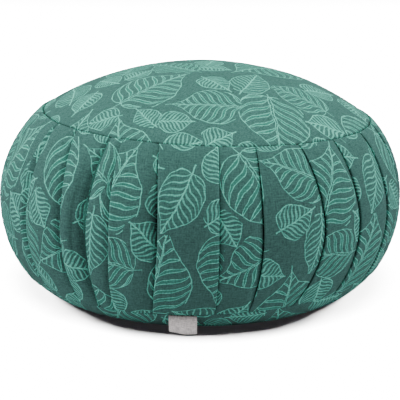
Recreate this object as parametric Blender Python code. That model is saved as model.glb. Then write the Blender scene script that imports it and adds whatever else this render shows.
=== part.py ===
"""Round pleated meditation cushion (zafu): filled body, two round panels and a sewn-in tab.

Metres, +Z up. The cushion rests on z = 0 and its axis is the Z axis. The front is -Y.
Azimuths are in degrees from the front, growing towards +X.
"""

from collections import namedtuple
from math import atan2, cos, hypot, pi, radians, sin

import bmesh
import bpy

# Driving sizes of the filled form
WIDTH = 0.360               # across the bulge
HEIGHT = 0.194              # floor to crown
PANEL_RADIUS = 0.1445       # of the top panel, at its seam
UPPER_SEAM_Z = 0.1520
BULGE_Z = 0.0770            # height of the widest girth
LOWER_SEAM_Z = 0.0180
FOOT_RADIUS = 0.1370        # flat disc that rests on the floor
UPPER_LEAN = 0.0050         # the upper seam lies this much higher at its left end than in front
LOWER_LEAN = -0.0036        # and the lower one this much lower
UPPER_SHIFT = 0.0062        # the upper one is sewn this much off centre, to the right

# Curves of the form
CROWN_POWER = 2.35          # how late the top panel turns down to its seam
UPPER_CURVE = (2.0, 1.2)    # side band above the bulge: height power, girth root
LOWER_CURVE = (2.25, 1.38)  # from the bulge to the floor, over the band and the panel's rim
FLAT_SHARE = 0.86           # share of the bottom panel's radius that lies flat

# Cloth and seats
PANEL_CLOTH = 0.0020
GAP = 0.0003
SEAT_GAP = 0.00035          # gap behind a panel
RIM_SHARE = 0.0014          # share of the bottom panel left open at its cut edge
SEAM_LAND = 0.0007          # width of the band's turned edge round each panel

# Knife pleats, deepest at the bulge
PUFF = 0.0022               # how far a panel between two pleats swells
LAP_LIFT = 0.0013           # edge that lies on top
LAP_DROP = 0.0012           # edge that goes under
TUCK = 0.0030               # how far a groove runs under the upper edge
SEAM_SHARE = 0.16           # share of the pleat's relief left right at a seam
EDGE_EASE = 0.22            # share of a panel over which its edges rise or drop

# Front pleats as they fall: azimuth at the upper seam, the bulge and the lower seam,
# which panel laps over (+1 the right one, -1 the left one), groove width and depth in mm
Pleat = namedtuple("Pleat", "upper bulge lower lap open_mm deep_mm")
FRONT_PLEATS = (
    Pleat(-57.0, -55.6, -52.8, 1, 4.0, 5.0),
    Pleat(-45.2, -40.2, -37.8, 1, 4.5, 5.5),
    Pleat(-29.9, -32.0, -30.6, 1, 6.0, 6.5),
    Pleat(-25.0, -23.5, -25.4, 1, 1.6, 4.0),
    Pleat(-12.6, -10.5, -13.6, 1, 6.5, 6.5),
    Pleat(5.5, 4.7, 4.1, -1, 2.4, 5.0),
    Pleat(17.1, 16.3, 13.9, 1, 3.0, 6.0),
    Pleat(31.6, 34.4, 27.6, 1, 2.8, 6.0),
    Pleat(45.7, 47.4, 42.6, 1, 2.8, 6.0),
    Pleat(62.1, 63.0, 57.5, 1, 2.6, 5.5),
    Pleat(78.5, 78.0, 74.0, 1, 2.6, 5.5),
)
REAR_PLEATS = 12            # the rest of the ring, evenly laid
REAR_STRAY = 1.3            # degrees that a rear pleat strays from even

# Tab of folded woven tape, sewn into the lower seam
TAB_AZIMUTH = -4.85
TAB_WIDTH = 0.0225
TAB_THICK = 0.0013
TAB_DROP = 0.0006           # its upper edge under the seam
TAB_FLARE = -0.0010         # how far its lower edge stands out from the seam
TAB_CLEAR = 0.0014          # its lower edge over the floor
TAB_TWIST = 0.0016          # its left end hangs this much higher

BULGE_RADIUS = 0.5 * WIDTH - PUFF

# Mesh steps
BAND_ROWS = 16
PANEL_STEPS = 5             # columns between two grooves
RING_SIDES = 64
CROWN_RINGS = 6
FOOT_RINGS = 3
TAB_STEPS = 8


def clear_scene():
    for thing in list(bpy.data.objects):
        bpy.data.objects.remove(thing, do_unlink=True)


def make_material(name, colour, roughness):
    material = bpy.data.materials.new(name)
    material.use_nodes = True
    shader = material.node_tree.nodes["Principled BSDF"]
    shader.inputs["Base Color"].default_value = (*colour, 1.0)
    shader.inputs["Roughness"].default_value = roughness
    shader.inputs["Metallic"].default_value = 0.0
    return material


def make_object(name, bm, material):
    """Close the mesh off as one smooth shaded object with its faces pointing out."""
    bmesh.ops.recalc_face_normals(bm, faces=bm.faces)
    mesh = bpy.data.meshes.new(name)
    bm.to_mesh(mesh)
    bm.free()
    mesh.shade_smooth()
    mesh.set_sharp_from_angle(angle=radians(40))
    mesh.materials.append(material)
    thing = bpy.data.objects.new(name, mesh)
    bpy.context.scene.collection.objects.link(thing)
    return thing


def at(azimuth, radius, z):
    """Point at an azimuth in degrees, a radius and a height."""
    turn = radians(azimuth)
    return (radius * sin(turn), -radius * cos(turn), z)


# Form of the cushion

def seam_z(azimuth, middle_z):
    """Height of a seam, which leans to one side."""
    lean = UPPER_LEAN if middle_z == UPPER_SEAM_Z else LOWER_LEAN
    return middle_z - lean * sin(radians(azimuth))


def upper_radius(azimuth):
    """Radius of the upper seam."""
    return PANEL_RADIUS + UPPER_SHIFT * sin(radians(azimuth))


def under_radius(z):
    """Radius of the cushion at a height under its bulge."""
    away = min((BULGE_Z - z) / BULGE_Z, 1.0)
    return FOOT_RADIUS + (BULGE_RADIUS - FOOT_RADIUS) * girth(away, LOWER_CURVE)


def girth(away, curve):
    """1 at the bulge, falling to 0 at the end of a curve."""
    power, root = curve
    return (1.0 - away ** power) ** (1.0 / root)


def upper_point(azimuth, share, inset=0.0):
    """Radius and height of the top panel, at a share of the way from its middle to its seam."""
    rim = seam_z(azimuth, UPPER_SEAM_Z)
    rise = (HEIGHT - rim) * (1.0 - share ** CROWN_POWER)
    return share * upper_radius(azimuth), rim + rise - inset


def lower_point(azimuth, share, inset=0.0):
    """The same for the bottom panel: flat on the floor, then rolled up to its seam.

    An inset moves the point into the cushion, square to the panel.
    """
    if share <= FLAT_SHARE:
        return FOOT_RADIUS * share / FLAT_SHARE, inset
    roll = (share - FLAT_SHARE) / (1.0 - FLAT_SHARE)
    z = seam_z(azimuth, LOWER_SEAM_Z) * (1.0 - cos(0.5 * pi * roll))
    step = 0.0002
    slope = (under_radius(z + step) - under_radius(z)) / step
    size = hypot(slope, 1.0)
    return under_radius(z) - inset / size, z + inset * slope / size


def band_profile(azimuth):
    """Radius and height of the side band from the upper seam to the lower, evenly stepped."""
    fine = 60
    upper, lower = [], []
    seam_radius = upper_radius(azimuth) + SEAM_LAND
    top, low = seam_z(azimuth, UPPER_SEAM_Z), seam_z(azimuth, LOWER_SEAM_Z)
    for step in range(fine + 1):
        away = sin(0.5 * pi * step / fine)      # 0 at the bulge, 1 at the seam
        upper.append((seam_radius + (BULGE_RADIUS - seam_radius) * girth(away, UPPER_CURVE),
                      BULGE_Z + (top - BULGE_Z) * away))
        z = BULGE_Z + (low - BULGE_Z) * away
        lower.append((under_radius(z) + SEAM_LAND * away ** 8, z))
    return even_steps(upper[::-1] + lower[1:], BAND_ROWS)


def even_steps(points, count):
    """The curve through the points, cut into equal lengths."""
    runs = [0.0]
    for (r0, z0), (r1, z1) in zip(points, points[1:]):
        runs.append(runs[-1] + hypot(r1 - r0, z1 - z0))
    result = []
    index = 0
    for step in range(count + 1):
        goal = runs[-1] * step / count
        while index < len(points) - 2 and runs[index + 1] < goal:
            index += 1
        share = (goal - runs[index]) / (runs[index + 1] - runs[index])
        (r0, z0), (r1, z1) = points[index], points[index + 1]
        result.append((r0 + (r1 - r0) * share, z0 + (z1 - z0) * share))
    return result


# Pleats

def all_pleats():
    """Front pleats as they fall, then the rear ones, in order of azimuth."""
    first, last = FRONT_PLEATS[0], FRONT_PLEATS[-1]
    pitch = (first.upper + 360.0 - last.upper) / (REAR_PLEATS + 1)
    pleats = list(FRONT_PLEATS)
    for index in range(REAR_PLEATS):
        middle = last.upper + pitch * (index + 1)
        stray = REAR_STRAY * sin(2.4 * index)
        pleats.append(Pleat(middle + stray, middle - stray, middle + 0.5 * stray,
                            1, 3.0 + sin(1.7 * index), 5.8))
    return pleats


def pleat_azimuth(pleat, down):
    """Where a pleat runs at a share of the way down the band."""
    if down < 0.5:
        seam, share = pleat.upper, 1.0 - 2.0 * down
    else:
        seam, share = pleat.lower, 2.0 * down - 1.0
    return pleat.bulge + (seam - pleat.bulge) * share ** 1.7


def relief(down):
    """How much of a pleat's relief shows at a share of the way down the band."""
    return SEAM_SHARE + (1.0 - SEAM_SHARE) * sin(pi * down) ** 0.6


def ease(share):
    """1 at a panel's edge, falling smoothly to 0 inside it."""
    inside = min(max(share / EDGE_EASE, 0.0), 1.0)
    return 1.0 - inside * inside * (3.0 - 2.0 * inside)


def band_column(pleats, column):
    """Azimuth and standing-out of one column as a function of the way down the band.

    Each panel has its left edge, PANEL_STEPS inner columns and its right edge, and the
    bottom of a groove follows it.
    """
    span = PANEL_STEPS + 3
    index, place = divmod(column, span)
    left = pleats[index]
    right = pleats[(index + 1) % len(pleats)]

    def edge_shift(pleat, down, side):
        """Degrees from the pleat's line to the edge of the panel on that side of it."""
        lies_under = pleat.lap != side
        width = 0.001 * pleat.open_mm * relief(down) if lies_under else 0.0
        return side * width / BULGE_RADIUS * 180.0 / pi

    def shape(down):
        lifted = relief(down)
        start = pleat_azimuth(left, down) + edge_shift(left, down, 1)
        goal = pleat_azimuth(right, down)
        if index == len(pleats) - 1:
            goal += 360.0
        end = goal + edge_shift(right, down, -1)
        if place == span - 1:
            tuck = TUCK * lifted / BULGE_RADIUS * 180.0 / pi
            return goal + right.lap * tuck, -0.001 * right.deep_mm * lifted
        share = place / (PANEL_STEPS + 1)
        rise = PUFF * 4.0 * share * (1.0 - share)
        rise += ease(share) * (LAP_LIFT if left.lap == 1 else -LAP_DROP)
        rise += ease(1.0 - share) * (LAP_LIFT if right.lap == -1 else -LAP_DROP)
        return start + (end - start) * share, rise * lifted

    return shape


# Meshes made of rings

def add_ring(bm, points):
    return [bm.verts.new(point) for point in points]


def skin(bm, rings):
    """Join rings of the same count with four-sided faces."""
    for upper, lower in zip(rings, rings[1:]):
        count = len(upper)
        for index in range(count):
            after = (index + 1) % count
            bm.faces.new((upper[index], lower[index], lower[after], upper[after]))


def knit(bm, outer, inner):
    """Join two rings of different counts with triangles, walking round both by azimuth."""
    def turns(ring):
        angles = [atan2(vert.co.x, -vert.co.y) % (2.0 * pi) for vert in ring]
        start = min(range(len(ring)), key=angles.__getitem__)
        order = [(start + step) % len(ring) for step in range(len(ring))]
        return [ring[i] for i in order], [angles[i] for i in order]

    outer, outer_turns = turns(outer)
    inner, inner_turns = turns(inner)
    outer_turns.append(outer_turns[0] + 2.0 * pi)
    inner_turns.append(inner_turns[0] + 2.0 * pi)
    i = j = 0
    while i < len(outer) or j < len(inner):
        here, there = outer[i % len(outer)], inner[j % len(inner)]
        step_outer = j == len(inner) or (i < len(outer) and outer_turns[i + 1] <= inner_turns[j + 1])
        if step_outer:
            i += 1
            bm.faces.new((here, outer[i % len(outer)], there))
        else:
            j += 1
            bm.faces.new((here, inner[j % len(inner)], there))


def close_centre(bm, ring, point):
    """Fan from the last ring to a centre point."""
    centre = bm.verts.new(point)
    for index, vert in enumerate(ring):
        bm.faces.new((vert, ring[(index + 1) % len(ring)], centre))


def ring_azimuths():
    return [360.0 * step / RING_SIDES for step in range(RING_SIDES)]


def upper_shares():
    """The top panel's rings, outermost first, as shares of the way out to the seam."""
    rim = 1.0 - GAP / PANEL_RADIUS
    return [rim * (1.0 - step / CROWN_RINGS) for step in range(CROWN_RINGS)]


def lower_shares():
    """The bottom panel's rings: down its rolled rim, then across the flat disc."""
    rim = 1.0 - RIM_SHARE
    rolled = [rim + (FLAT_SHARE - rim) * step / FOOT_RINGS for step in range(FOOT_RINGS + 1)]
    return rolled + [0.5 * FLAT_SHARE]


def surface_rings(bm, form, shares, inset):
    """Rings of one surface of a panel, moved into the cushion by an inset."""
    rings = []
    for share in shares:
        points = []
        for azimuth in ring_azimuths():
            points.append(at(azimuth, *form(azimuth, share, inset)))
        rings.append(add_ring(bm, points))
    return rings


# The pieces

def build_body(material):
    """Filled body: pleated wall, and a seat for each round panel."""
    bm = bmesh.new()
    pleats = all_pleats()
    columns = [band_column(pleats, index) for index in range(len(pleats) * (PANEL_STEPS + 3))]
    rows = []
    for row in range(BAND_ROWS + 1):
        down = row / BAND_ROWS
        points = []
        for column in columns:
            azimuth, rise = column(down)
            radius, z = band_profile(azimuth)[row]
            if row in (0, BAND_ROWS):
                rise = max(rise, -0.8 * SEAM_LAND)
            points.append(at(azimuth, radius + rise, z))
        rows.append(add_ring(bm, points))
    skin(bm, rows)
    inset = PANEL_CLOTH + SEAT_GAP
    for edge, form, shares in ((rows[0], upper_point, upper_shares()),
                               (rows[-1], lower_point, lower_shares())):
        turns = [atan2(vert.co.x, -vert.co.y) * 180.0 / pi for vert in edge]
        wall = [edge, add_ring(bm, [at(turn, *form(turn, 1.0)) for turn in turns]),
                add_ring(bm, [at(turn, *form(turn, 1.0, inset)) for turn in turns])]
        skin(bm, wall)
        floor = surface_rings(bm, form, shares[1:], inset)
        knit(bm, wall[-1], floor[0])
        skin(bm, floor)
        close_centre(bm, floor[-1], at(0.0, *form(0.0, 0.0, inset)))
    return make_object("pleated_body", bm, material)


def build_panel(name, form, shares, material):
    """Round panel: a sheet that follows the form, with its cut edge towards the seam."""
    bm = bmesh.new()
    outside = surface_rings(bm, form, shares, 0.0)
    inside = surface_rings(bm, form, shares, PANEL_CLOTH)
    skin(bm, outside)
    skin(bm, inside)
    skin(bm, [outside[0], inside[0]])
    for rings, inset in ((outside, 0.0), (inside, PANEL_CLOTH)):
        close_centre(bm, rings[-1], at(0.0, *form(0.0, 0.0, inset)))
    return make_object(name, bm, material)


def tab_section():
    """Half thickness and way down of the folded tape, round its folded lower edge."""
    fold = 0.5 * TAB_THICK
    sides = 6
    front = [(fold, down / TAB_STEPS) for down in range(TAB_STEPS + 1)]
    turn = [(fold * cos(pi * step / sides), 1.0, fold * sin(pi * step / sides))
            for step in range(1, sides)]
    back = [(-fold, down / TAB_STEPS) for down in range(TAB_STEPS, -1, -1)]
    return [(*point, 0.0) for point in front] + turn + [(*point, 0.0) for point in back]


def build_tab(material):
    """Folded tape that hangs from the lower seam."""
    bm = bmesh.new()
    seam = seam_z(TAB_AZIMUTH, LOWER_SEAM_Z)
    inner = under_radius(seam) + SEAM_LAND + 0.5 * TAB_THICK
    seam -= TAB_DROP
    rings = []
    for step in range(TAB_STEPS + 1):
        across = step / TAB_STEPS - 0.5
        azimuth = TAB_AZIMUTH + across * TAB_WIDTH / inner * 180.0 / pi
        points = []
        for thick, down, below in tab_section():
            bottom = TAB_CLEAR + 0.5 * TAB_THICK - TAB_TWIST * min(across, 0.0) * 2.0
            radius = inner + TAB_FLARE * down ** 1.3 + thick * 0.85
            z = seam + (bottom - seam) * down + thick * 0.5 * down - below * 0.85
            points.append(at(azimuth, radius, z))
        rings.append(add_ring(bm, points))
    skin(bm, rings)
    bm.faces.new(rings[0])
    bm.faces.new(rings[-1])
    return make_object("seam_tab", bm, material)


def main():
    clear_scene()
    cloth = {name: make_material(name, (0.085, 0.190, 0.150), 0.88)
             for name in ("band_cloth", "top_cloth", "bottom_cloth")}
    tape = make_material("tab_tape", (0.42, 0.38, 0.37), 0.80)
    build_body(cloth["band_cloth"])
    build_panel("top_panel", upper_point, upper_shares(), cloth["top_cloth"])
    build_panel("bottom_panel", lower_point, lower_shares(), cloth["bottom_cloth"])
    build_tab(tape)


main()
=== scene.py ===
"""Looks of a round pleated meditation cushion (zafu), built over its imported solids.

Metres, +Z up. The cushion rests on z = 0, its axis is the Z axis and its front is -Y.
Azimuths are in degrees from the front, growing towards +X. "Down" is the share of the way
down the side band, from 0 at the upper seam to 1 at the lower one.
"""

from __future__ import annotations

import logging
from dataclasses import dataclass
from enum import Enum
from math import cos, e, exp, pi, radians, sin
from typing import Any, Callable, Sequence

import bpy
import numpy as np
from bpy.types import ID, Material, NodeSocket, Object
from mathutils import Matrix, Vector, noise


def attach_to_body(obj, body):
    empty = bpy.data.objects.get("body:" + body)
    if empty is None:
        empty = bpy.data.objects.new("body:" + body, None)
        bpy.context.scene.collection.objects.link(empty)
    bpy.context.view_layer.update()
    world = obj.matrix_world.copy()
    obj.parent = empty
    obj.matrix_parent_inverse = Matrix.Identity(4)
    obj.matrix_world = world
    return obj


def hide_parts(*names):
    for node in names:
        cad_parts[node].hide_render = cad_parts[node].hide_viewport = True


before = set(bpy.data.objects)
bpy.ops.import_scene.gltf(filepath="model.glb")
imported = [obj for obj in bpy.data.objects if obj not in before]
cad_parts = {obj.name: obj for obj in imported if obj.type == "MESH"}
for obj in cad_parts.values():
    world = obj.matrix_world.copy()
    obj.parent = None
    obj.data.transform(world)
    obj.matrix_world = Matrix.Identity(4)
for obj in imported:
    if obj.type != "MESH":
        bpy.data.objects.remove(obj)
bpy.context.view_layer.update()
LOG = logging.getLogger("cushion")

CLOTH_MAP = "cloth"         # flat place on the printed cloth, in metres
BAKE_MAP = "OFBake"         # every face once, for baking
CREASE_SHADING = "crease"           # painted highlight at +1 on a folded edge, painted shade at -1 deep in a groove

Array = np.ndarray
# Points, place along the band, crease and place down it; the first column comes again last
Ring = tuple[Array, Array, Array | float, float]


# --- Form ---


@dataclass(frozen=True)
class Form:
    """Filled form of the cushion, with the sizes of its solids."""

    width: float = 0.360
    height: float = 0.194
    panel_radius: float = 0.1445
    upper_seam_z: float = 0.1520
    bulge_z: float = 0.0770
    lower_seam_z: float = 0.0180
    foot_radius: float = 0.1370
    upper_lean: float = 0.0050
    lower_lean: float = -0.0036
    upper_shift: float = 0.0062
    crown_power: float = 2.35
    upper_curve: tuple[float, float] = (2.0, 1.2)
    lower_curve: tuple[float, float] = (2.25, 1.38)
    flat_share: float = 0.86        # share of the bottom panel that lies flat
    seam_land: float = 0.0007
    puff: float = 0.0022
    cloth: float = 0.0018

    @property
    def bulge_radius(self) -> float:
        """Radius of the widest girth, under the swell of the panels."""
        return 0.5 * self.width - self.puff

    def upper_seam(self, azimuth: Array) -> Array:
        """Height of the upper seam, which lies a little higher on the left."""
        return self.upper_seam_z - self.upper_lean * np.sin(np.radians(azimuth))

    def lower_seam(self, azimuth: Array) -> Array:
        """Height of the lower seam, which lies a little higher on the right."""
        return self.lower_seam_z - self.lower_lean * np.sin(np.radians(azimuth))

    def upper_radius(self, azimuth: Array) -> Array:
        """Radius of the upper seam."""
        return self.panel_radius + self.upper_shift * np.sin(np.radians(azimuth))

    def girth(self, away: Array, curve: tuple[float, float]) -> Array:
        """1 at the bulge, falling to 0 at the end of a curve."""
        power, root = curve
        return np.clip(1.0 - away ** power, 0.0, 1.0) ** (1.0 / root)

    def under_radius(self, z: Array) -> Array:
        """Radius at heights under the bulge."""
        away = np.clip((self.bulge_z - z) / self.bulge_z, 0.0, 1.0)
        return self.foot_radius + (self.bulge_radius - self.foot_radius) * self.girth(
            away, self.lower_curve)

    def upper_point(self, azimuth: Array, share: float,
                    inset: Array | float = 0.0) -> tuple[Array, Array]:
        """Place on the top panel.

        Args:
            azimuth: azimuths of the points, in degrees.
            share: share of the way from the middle to the seam.
            inset: how far the point lies under the surface.

        Returns:
            Radii and heights.
        """
        rim = self.upper_seam(azimuth)
        rise = 1.0 - min(share, 1.0) ** self.crown_power
        return share * self.upper_radius(azimuth), rim + (self.height - rim) * rise - inset

    def lower_point(self, azimuth: Array, share: float,
                    inset: Array | float = 0.0) -> tuple[Array, Array]:
        """Place on the bottom panel: flat on the floor, then rolled up to its seam.

        Args:
            azimuth: azimuths of the points, in degrees.
            share: share of the way from the middle to the seam.
            inset: how far the point lies inside the surface, square to it.

        Returns:
            Radii and heights.
        """
        if share <= self.flat_share:
            flat = np.zeros_like(azimuth)
            return flat + self.foot_radius * share / self.flat_share, flat + inset
        roll = (share - self.flat_share) / (1.0 - self.flat_share)
        z = self.lower_seam(azimuth) * (1.0 - cos(0.5 * pi * roll))
        step = 0.0002
        slope = (self.under_radius(z + step) - self.under_radius(z)) / step
        size = np.hypot(slope, 1.0)
        return self.under_radius(z) - inset / size, z + inset * slope / size

    def rim_cloth(self) -> float:
        """Cloth in the bottom panel from the edge of its flat part up to its seam."""
        steps = [self.lower_point(np.zeros(1), share)
                 for share in np.linspace(self.flat_share, 1.0, 40)]
        return float(runs(*np.transpose(steps)[0])[-1])


def runs(*sides: Array) -> Array:
    """Way along a line of points from its first, given their coordinates."""
    steps = np.sqrt(sum(np.diff(side) ** 2 for side in sides))
    return np.concatenate(([0.0], np.cumsum(steps)))


class SideTable:
    """Smooth wall of the side band, measured once round the ring and looked up from then on."""

    STEP = 3.0              # degrees between two measured profiles
    FINE = 80               # steps of each half of a profile

    def __init__(self, form: Form, downs: Array) -> None:
        """Measure the wall.

        Args:
            form: the cushion's form.
            downs: shares of the way down at which rows are wanted.
        """
        self.turns = np.arange(0.0, 360.0 + self.STEP, self.STEP)
        radii, heights, lengths = [], [], []
        for turn in self.turns:
            radius, z = self.profile(form, turn)
            way = runs(radius, z)
            lengths.append(way[-1])
            radii.append(np.interp(downs * way[-1], way, radius))
            heights.append(np.interp(downs * way[-1], way, z))
        along_r, along_z = np.gradient(radii, axis=1), np.gradient(heights, axis=1)
        size = np.hypot(along_r, along_z)
        self.values = np.array((radii, heights, -along_z / size, along_r / size))
        self.length = float(np.mean(lengths))

    def profile(self, form: Form, turn: float) -> tuple[Array, Array]:
        """One profile, from the upper seam to the lower one.

        Args:
            form: the cushion's form.
            turn: azimuth of the profile, in degrees.

        Returns:
            Radii and heights.
        """
        away = np.sin(0.5 * pi * np.linspace(0.0, 1.0, self.FINE + 1))
        start = form.upper_radius(turn) + form.seam_land
        upper_r = start + (form.bulge_radius - start) * form.girth(away, form.upper_curve)
        upper_z = form.bulge_z + (form.upper_seam(turn) - form.bulge_z) * away
        lower_z = form.bulge_z + (form.lower_seam(turn) - form.bulge_z) * away
        lower_r = form.under_radius(lower_z) + form.seam_land * away ** 8
        return (np.concatenate((upper_r[::-1], lower_r[1:])),
                np.concatenate((upper_z[::-1], lower_z[1:])))

    def look_up(self, azimuth: Array, row: int) -> Array:
        """Radii, heights and the two parts of the outward direction, at azimuths in a row."""
        turn = np.mod(azimuth, 360.0)
        return np.array([np.interp(turn, self.turns, value[:, row]) for value in self.values])


def around(azimuth: Array, radius: Array, z: Array) -> Array:
    """Points at azimuths in degrees, radii and heights."""
    turn = np.radians(azimuth)
    return np.stack((radius * np.sin(turn), -radius * np.cos(turn), z + 0.0 * turn), axis=-1)


def smooth(share: Array) -> Array:
    """0 to 1 with soft ends."""
    inside = np.clip(share, 0.0, 1.0)
    return inside * inside * (3.0 - 2.0 * inside)


def swells(points: Array, size: float, seed: float) -> Array:
    """Soft unevenness of filled cloth.

    Args:
        points: places, in metres.
        size: size of one swell, in metres.
        seed: shift that makes one pattern differ from another.

    Returns:
        Heights from -1 to 1.
    """
    return np.array([noise.noise(Vector(point) / size + Vector((seed, 0.0, seed)))
                     for point in points])


@dataclass(frozen=True)
class Seam:
    """How the cloth beside a drawn-in seam rolls in and puckers."""

    pucker_mm: float
    pucker_length: float = 0.010
    pucker_reach: float = 0.012
    pucker_start: float = 0.002
    roll_mm: float = 0.8
    roll_reach: float = 0.0006
    starts: tuple[float, float] = (0.7, 5.2)    # of the puckers along the upper and lower seam
    # Waves that add up to uneven puckers: stretch, weight and shift
    waves: tuple[tuple[float, float, float], ...] = (
        (1.0, 0.50, 0.0), (1.37, 0.34, 1.9), (0.61, 0.28, 4.1), (2.30, 0.18, 2.6))

    def rolled(self, gone: float) -> float:
        """1 in the seam, falling to 0 at a small distance from it."""
        return exp(-(gone / self.roll_reach) ** 2)

    def pucker(self, gone: float) -> float:
        """Height of the puckers in mm, at a distance from the seam."""
        size = self.pucker_mm * exp(-gone / self.pucker_reach)
        return size * (1.0 - exp(-gone / self.pucker_start))

    def ripple(self, arc: Array, start: float) -> Array:
        """Uneven waves along the seam, from about -1 to 1."""
        way = 2.0 * pi * arc / self.pucker_length
        return sum(weight * np.sin(way * stretch + shift + start * stretch)
                   for stretch, weight, shift in self.waves)


# --- Meshes ---


class Skin:
    """Closed cloth mesh in the making: points, faces and two flat maps."""

    def __init__(self, name: str) -> None:
        """Start an empty mesh.

        Args:
            name: its name.
        """
        self.name = name
        self.points: list[Array] = []
        self.crease: list[Array] = []
        self.faces: list[list[int]] = []
        self.flats: dict[str, list[float]] = {CLOTH_MAP: [], BAKE_MAP: []}

    def add_points(self, points: Array, crease: Array | float = 0.0) -> Array:
        """Add points.

        Args:
            points: the points.
            crease: their crease value.

        Returns:
            Their numbers.
        """
        points = points.reshape(-1, 3)
        start = sum(map(len, self.points))
        self.points.append(points)
        self.crease.append(np.zeros(len(points)) + crease)
        return np.arange(start, start + len(points))

    def add_ring(self, points: Array, crease: Array | float) -> Array:
        """Add a ring, given with its first point again at its end, and return its numbers."""
        ring = self.add_points(points[:-1], (np.zeros(len(points)) + crease)[:-1])
        return np.append(ring, ring[0])

    def add_grid(self, numbers: Array, cloth: Array, bake: Array, flipped: bool = False) -> None:
        """Quads between neighbours of a grid, seen from outside with rows going down.

        Args:
            numbers: point numbers, rows by columns.
            cloth: place of each on the cloth, rows by columns by 2.
            bake: place of each on the bake map, rows by columns by 2.
            flipped: whether the grid is seen from its other side.
        """
        near, far = slice(None, -1), slice(1, None)
        corners = ((near, near), (far, near), (far, far), (near, far))[::-1 if flipped else 1]
        self.faces += np.stack([numbers[c] for c in corners], axis=-1).reshape(-1, 4).tolist()
        for store, flat in zip(self.flats.values(), (cloth, bake)):
            store += np.stack([flat[c] for c in corners], axis=2).ravel().tolist()

    def add_pole(self, z: float, ring: Array, flats: Sequence[Array],
                 centres: Sequence[Sequence[float]], upper: bool, crease: float = 0.0) -> None:
        """Triangles from a ring to a new point on the axis.

        Args:
            z: height of that point.
            ring: numbers of the ring's points in order of azimuth, the first again at its end.
            flats: their places on the cloth and on the bake map.
            centres: the new point's place on each of the two.
            upper: whether the ring is a mesh's first row, and not its last.
            crease: the new point's crease value.
        """
        pole = self.add_points(np.array([[0.0, 0.0, z]]), crease)
        steps = np.arange(len(ring) - 1)
        pairs = np.stack((steps, steps + 1) if upper else (steps + 1, steps), axis=1)
        self.faces += np.insert(ring[pairs], 2, pole, axis=1).tolist()
        for store, flat, centre in zip(self.flats.values(), flats, centres):
            store += np.insert(flat[pairs], 2, centre, axis=1).ravel().tolist()

    def finish(self, material: Material) -> Object:
        """Make the object, smooth and with its place in its mesh.

        Args:
            material: its cloth.

        Returns:
            The finished object.
        """
        mesh = bpy.data.meshes.new(self.name)
        mesh.from_pydata(np.concatenate(self.points).tolist(), [], self.faces)
        for name, flat in self.flats.items():
            mesh.uv_layers.new(name=name).data.foreach_set("uv", flat)
        mesh.uv_layers.active = mesh.uv_layers[CLOTH_MAP]
        values = mesh.attributes.new(CREASE_SHADING, "FLOAT", "POINT")
        values.data.foreach_set("value", np.concatenate(self.crease).astype(np.float32))
        mesh.validate()
        mesh.shade_smooth()
        mesh.materials.append(material)
        piece = bpy.data.objects.new(self.name, mesh)
        bpy.context.scene.collection.objects.link(piece)
        return piece


def disc_map(azimuth: Array, shares: Sequence[float], centre: tuple[float, float],
             radius: float) -> Array:
    """Flat places of a round panel's rings.

    Args:
        azimuth: azimuths of the points, in degrees.
        shares: how far out each ring lies, as a share of the radius.
        centre: the panel's middle on the flat map.
        radius: its radius there.

    Returns:
        Places, rows by columns by 2.
    """
    turn = np.radians(azimuth)[None, :]
    out = radius * np.array(shares)[:, None]
    return np.stack((centre[0] + out * np.sin(turn), centre[1] - out * np.cos(turn)), axis=-1)


def flat_grid(across: Sequence[float], down: Sequence[float]) -> Array:
    """Places of a rectangle's rows and columns on a flat map."""
    return np.stack(np.meshgrid(across, down), axis=-1)


# --- Pleated side ---


class Lap(Enum):
    """Which panel lies on top at a pleat."""

    RIGHT_OVER = 1
    LEFT_OVER = -1


@dataclass(frozen=True)
class Pleat:
    """One knife pleat: its azimuths, its lap, and how wide and deep it opens, in mm."""

    upper: float
    bulge: float
    lower: float
    open_mm: float
    deep_mm: float
    slack: float = 0.0          # 1 where it has fallen open into a soft valley
    gape: float = 0.0           # how much wider it opens half-way down
    lap: Lap = Lap.RIGHT_OVER

    def azimuth(self, down: float) -> float:
        """Where the folded edge runs at a share of the way down."""
        seam = self.upper if down < 0.5 else self.lower
        return self.bulge + (seam - self.bulge) * abs(1.0 - 2.0 * down) ** 1.7


FRONT_PLEATS = (
    Pleat(-57.0, -55.6, -52.8, 7.0, 5.0, slack=0.85),
    Pleat(-45.2, -40.2, -37.8, 7.0, 6.0, slack=0.65),
    Pleat(-29.9, -32.0, -30.6, 8.5, 7.0, slack=0.75),
    Pleat(-25.0, -23.5, -25.4, 0.9, 2.6),
    Pleat(-12.6, -10.5, -13.6, 3.4, 5.5, gape=1.5),
    Pleat(5.5, 4.7, 4.1, 1.4, 4.0, lap=Lap.LEFT_OVER),
    Pleat(17.1, 16.3, 13.9, 1.5, 5.0),
    Pleat(31.6, 34.4, 27.6, 1.4, 5.0),
    Pleat(45.7, 47.4, 42.6, 1.4, 5.0),
    Pleat(62.1, 63.0, 57.5, 1.3, 4.5),
    Pleat(78.5, 78.0, 74.0, 1.3, 4.5),
)


@dataclass(frozen=True)
class FoldStep:
    """One step round a knife pleat, from the panel that goes under to the one on top."""

    opening: float          # share of the opening, towards the panel on top
    across_mm: float        # and this much further
    depth: float            # share of the depth, inwards
    lift: float             # share of the lift, outwards
    # Crease value: painted highlight where above 0, painted shade where below 0
    crease: float


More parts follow.
